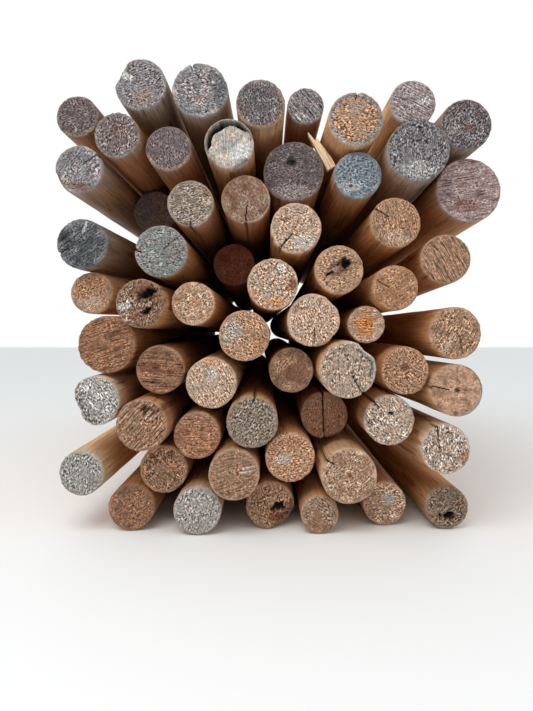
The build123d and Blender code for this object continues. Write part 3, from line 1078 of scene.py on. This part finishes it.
def addNode(tree, kind, inputs=None, **settings):
    node = tree.nodes.new(kind)
    for name, value in settings.items():
        setattr(node, name, value)
    for name, value in (inputs or {}).items():
        if isinstance(value, bpy.types.NodeSocket):
            tree.links.new(value, node.inputs[name])
        else:
            node.inputs[name].default_value = value
    return node


def attributeOf(tree, name, kind="Vector"):
    return addNode(tree, "ShaderNodeAttribute", attribute_name=name).outputs[kind]


def stretched(tree, place, scale):
    return addNode(tree, "ShaderNodeMapping", {"Vector": place, "Scale": scale}).outputs[0]


def grain(tree, place, waves, detail, roughness):
    place = stretched(tree, place, waves)
    settings = {"Vector": place, "Scale": 1.0, "Detail": detail, "Roughness": roughness}
    return addNode(tree, "ShaderNodeTexNoise", settings).outputs["Fac"]


def ranged(tree, value, fromLow, fromHigh, toLow, toHigh):
    settings = {"Value": value, 1: fromLow, 2: fromHigh, 3: toLow, 4: toHigh}
    return addNode(tree, "ShaderNodeMapRange", settings).outputs[0]


def compute(tree, operation, first, second=0.0):
    return addNode(tree, "ShaderNodeMath", {0: first, 1: second}, operation=operation).outputs[0]


def weighted(tree, value, weight):
    # 1 where the weight is 0, and the value where it is 1
    change = compute(tree, "SUBTRACT", value, 1.0)
    return compute(tree, "ADD", compute(tree, "MULTIPLY", change, weight), 1.0)


def tinted(tree, colour, tint, share, weight=1.0):
    # the colour times the tint, where the share and the weight are both 1
    other = addNode(tree, "ShaderNodeVectorMath", {0: colour, 1: tint}, operation="MULTIPLY")
    both = compute(tree, "MULTIPLY", share, weight)
    mixed = addNode(tree, "ShaderNodeMix", {0: both}, data_type="RGBA")
    tree.links.new(colour, mixed.inputs[6])
    tree.links.new(other.outputs[0], mixed.inputs[7])
    return mixed.outputs[2]


def finishWood(tree, shader, wood, shades, height, finish):
    # the wood times each of its shades, with a bump
    for shade in shades:
        scaled = addNode(tree, "ShaderNodeVectorMath", {0: wood, "Scale": shade}, operation="SCALE")
        wood = scaled.outputs[0]
    tree.links.new(wood, shader.inputs["Base Color"])
    settings = {"Height": height, "Strength": finish["bump"], "Distance": finish["bumpDistance"]}
    tree.links.new(addNode(tree, "ShaderNodeBump", settings).outputs[0], shader.inputs["Normal"])
    shader.inputs["Roughness"].default_value = finish["roughness"]
    shader.inputs["Specular IOR Level"].default_value = finish["specular"]


endFinish = {
    "fleck": ((125, 205, 1), 4.0, 0.72),  # along and across the way of the saw
    # The low places of the fleck noise, which the bump also sinks, get painted shade; its high strands
    # get pale fibres with a painted highlight.
    "pitRange": (0.49, 0.41, 0, 1),
    "pitTone": (0.1, 0.05, 0.03),  # shares of the tone of the wood
    "strandRange": (0.51, 0.61, 0, 1),
    "strandTone": (2.15, 2.2, 2.25),
    "coarse": ((80, 80, 12), 2.0, 0.6),
    "coarseRange": (0.3, 0.7, 0.6, 1.36),
    "saw": ((14, 210, 1), 2.0, 0.6),
    "sawRange": (0.35, 0.65, 0.36, 1.5),
    "ringPitch": 0.0038,
    "ringWarp": 9.0,
    "ringRange": (-1, 1, 0.86, 1.1),
    "roughness": 0.92,
    "specular": 0.2,
    "bump": 0.9,
    "bumpDistance": 0.004,
}


def ringWave(tree, place, coarse):
    # growth rings about the middle of the log, bent by the coarse noise
    apart = addNode(tree, "ShaderNodeSeparateXYZ", {0: place}).outputs
    squares = [compute(tree, "POWER", apart[axis], 2.0) for axis in (0, 1)]
    reach = compute(tree, "SQRT", compute(tree, "ADD", *squares))
    turned = compute(tree, "MULTIPLY", reach, 2 * math.pi / endFinish["ringPitch"])
    warp = compute(tree, "MULTIPLY", coarse, endFinish["ringWarp"])
    return compute(tree, "SINE", compute(tree, "ADD", turned, warp))


def makeEndWood():
    material, tree, shader = startMaterial("sawnEndWood")
    place, sawPlace = attributeOf(tree, "grainPlace"), attributeOf(tree, "sawPlace")
    traits = addNode(tree, "ShaderNodeSeparateXYZ", {0: attributeOf(tree, "traits")})
    torn, sawn, ringed = traits.outputs
    fleck = grain(tree, sawPlace, *endFinish["fleck"])
    coarse = grain(tree, place, *endFinish["coarse"])
    saw = grain(tree, sawPlace, *endFinish["saw"])
    wood = attributeOf(tree, "woodTone", "Color")
    # Painted shade in the pits of the fleck bump, and pale fibres with a painted highlight on its
    # ridges.
    for name in ("pit", "strand"):
        share = ranged(tree, fleck, *endFinish[name + "Range"])
        wood = tinted(tree, wood, endFinish[name + "Tone"], share, torn)
    shades = [
        ranged(tree, coarse, *endFinish["coarseRange"]),
        weighted(tree, ranged(tree, saw, *endFinish["sawRange"]), sawn),
        weighted(tree, ranged(tree, ringWave(tree, place, coarse), *endFinish["ringRange"]), ringed),
    ]
    height = compute(tree, "ADD", fleck, compute(tree, "MULTIPLY", saw, sawn))
    finishWood(tree, shader, wood, shades, height, endFinish)
    return material


sideFinish = {
    "streak": ((150, 150, 5), 4.0, 0.6),
    "streakRange": (0.35, 0.65, 0.78, 1.18),
    "cloud": ((22, 22, 2.5), 3.0, 0.6),
    "cloudRange": (0.35, 0.65, 0.82, 1.15),
    "check": ((75, 75, 1.4), 1.0, 0.6),
    "checkRange": (0.003, 0.006, 0.45, 1),
    "bark": ((26, 26, 2.2), 4.0, 0.65),
    "barkRange": (0.6, 0.64, 0, 1),
    "barkTone": (0.62, 0.5, 0.42),
    "knot": (9, 9, 1.6),
    "knotRange": (0.055, 0.11, 0.35, 1),
    "roughness": 0.72,
    "specular": 0.3,
    "bump": 0.6,
    "bumpDistance": 0.0008,
}


def makeSideWood():
    material, tree, shader = startMaterial("peeledSideWood")
    place = attributeOf(tree, "grainPlace")
    streak, cloud, check, bark = (
        grain(tree, place, *sideFinish[name]) for name in ("streak", "cloud", "check", "bark")
    )
    offMiddle = compute(tree, "ABSOLUTE", compute(tree, "SUBTRACT", check, 0.5))
    checks = ranged(tree, offMiddle, *sideFinish["checkRange"])
    knotPlace = stretched(tree, place, sideFinish["knot"])
    cells = addNode(tree, "ShaderNodeTexVoronoi", {"Vector": knotPlace, "Scale": 1.0})
    left = ranged(tree, bark, *sideFinish["barkRange"])
    wood = tinted(tree, attributeOf(tree, "woodTone", "Color"), sideFinish["barkTone"], left)
    shades = [
        ranged(tree, streak, *sideFinish["streakRange"]),
        ranged(tree, cloud, *sideFinish["cloudRange"]),
        checks,
        ranged(tree, cells.outputs["Distance"], *sideFinish["knotRange"]),
    ]
    height = compute(tree, "ADD", compute(tree, "ADD", streak, checks), left)
    finishWood(tree, shader, wood, shades, height, sideFinish)
    return material


for material in (makeEndWood(), makeSideWood()):
    blankMesh.materials.append(material)


def joinCourse(name, logs):
    with bpy.context.temp_override(active_object=logs[0], selected_editable_objects=logs):
        bpy.ops.object.join()
    logs[0].name = name
    return logs[0]


number = 0
for course, styles in courseLooks.items():
    logs = []
    for place, style in zip(measureCourse(course), styles):
        number += 1
        logs.append(makeLog(place, number, style))
    piece = joinCourse(course + "_logs", logs)
    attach(piece, "root")
    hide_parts(course)
    print(course, "done:", len(styles), "logs,", len(piece.data.polygons), "faces")


# The loose sliver.
sliverFinish = {
    "lean": 28,  # degrees from upright, as the fibres run
    "fibre": ((420, 420, 14), 3.0, 0.6),
    "tones": {"brown": 0.32, "splitYellow": 0.5},  # where on the fibres' noise each lies
    "roughness": 0.8,
    "specular": 0.5,
    "bump": 1.0,
    "bumpDistance": 0.002,
}


def makeSplitWood():
    material, tree, shader = startMaterial("freshSplitWood")
    place = addNode(tree, "ShaderNodeTexCoord").outputs["Object"]
    turn = (0, math.radians(sliverFinish["lean"]), 0)
    upright = addNode(tree, "ShaderNodeMapping", {"Vector": place, "Rotation": turn}).outputs[0]
    fibre = grain(tree, upright, *sliverFinish["fibre"])
    ramp = addNode(tree, "ShaderNodeValToRGB", {0: fibre})
    for stop, (name, level) in zip(ramp.color_ramp.elements, sliverFinish["tones"].items()):
        stop.position = level
        stop.color = (*toneOf[name], 1)
    finishWood(tree, shader, ramp.outputs[0], [], fibre, sliverFinish)
    return material


sliverNode = frame["nodes"]["split_sliver"]
sliverNode.data.materials.clear()
sliverNode.data.materials.append(makeSplitWood())
print("sliver done")


# The studio.
def makeStage():
    floor = bmesh.new()
    bmesh.ops.create_grid(floor, x_segments=1, y_segments=1, size=studio["floorSize"] / 2)
    mesh = bpy.data.meshes.new("floor")
    floor.to_mesh(mesh)
    floor.free()
    material, _, shader = startMaterial("floorPaint")
    shader.inputs["Base Color"].default_value = (*toLinear(studio["floorTone"]), 1)
    shader.inputs["Roughness"].default_value = studio["floorRoughness"]
    mesh.materials.append(material)
    addObject("floor", mesh)


def makeSky():
    world = bpy.data.worlds.new("sky")
    world.use_nodes = True
    tree = world.node_tree
    tree.nodes.clear()
    paths = addNode(tree, "ShaderNodeLightPath")
    dim = {"Color": studio["skyTint"], "Strength": studio["skyStrength"]}
    light = addNode(tree, "ShaderNodeBackground", dim)
    white = addNode(tree, "ShaderNodeBackground", {"Color": (1, 1, 1, 1), "Strength": 1.0})
    seen = compute(tree, "MAXIMUM", paths.outputs["Is Camera Ray"], paths.outputs["Is Glossy Ray"])
    seen = compute(tree, "MAXIMUM", seen, paths.outputs["Is Transmission Ray"])
    mixed = addNode(tree, "ShaderNodeMixShader", {0: seen, 1: light.outputs[0], 2: white.outputs[0]})
    tree.links.new(mixed.outputs[0], addNode(tree, "ShaderNodeOutputWorld").inputs[0])
    bpy.context.scene.world = world


def makeLamp():
    lamp = bpy.data.lights.new("softLamp", "AREA")
    lamp.shape = "DISK"
    lamp.size = studio["lampSize"]
    lamp.energy = studio["lampWatts"]
    holder = addObject("softLamp", lamp, studio["lampPlace"])
    aim = Vector(studio["lampAim"]) - Vector(studio["lampPlace"])
    holder.rotation_mode = "QUATERNION"
    holder.rotation_quaternion = aim.to_track_quat("-Z", "Y")


def makeCamera():
    lens = bpy.data.cameras.new("view")
    lens.lens = viewPoint["lens"]
    lens.shift_x = viewPoint["shiftX"]
    lens.shift_y = viewPoint["shiftY"]
    camera = addObject("view", lens, viewPoint["place"])
    camera.rotation_euler = (math.pi / 2, 0, 0)
    bpy.context.scene.camera = camera


makeStage()
makeSky()
makeLamp()
makeCamera()
bpy.context.scene.view_settings.view_transform = "Standard"
print("studio done")
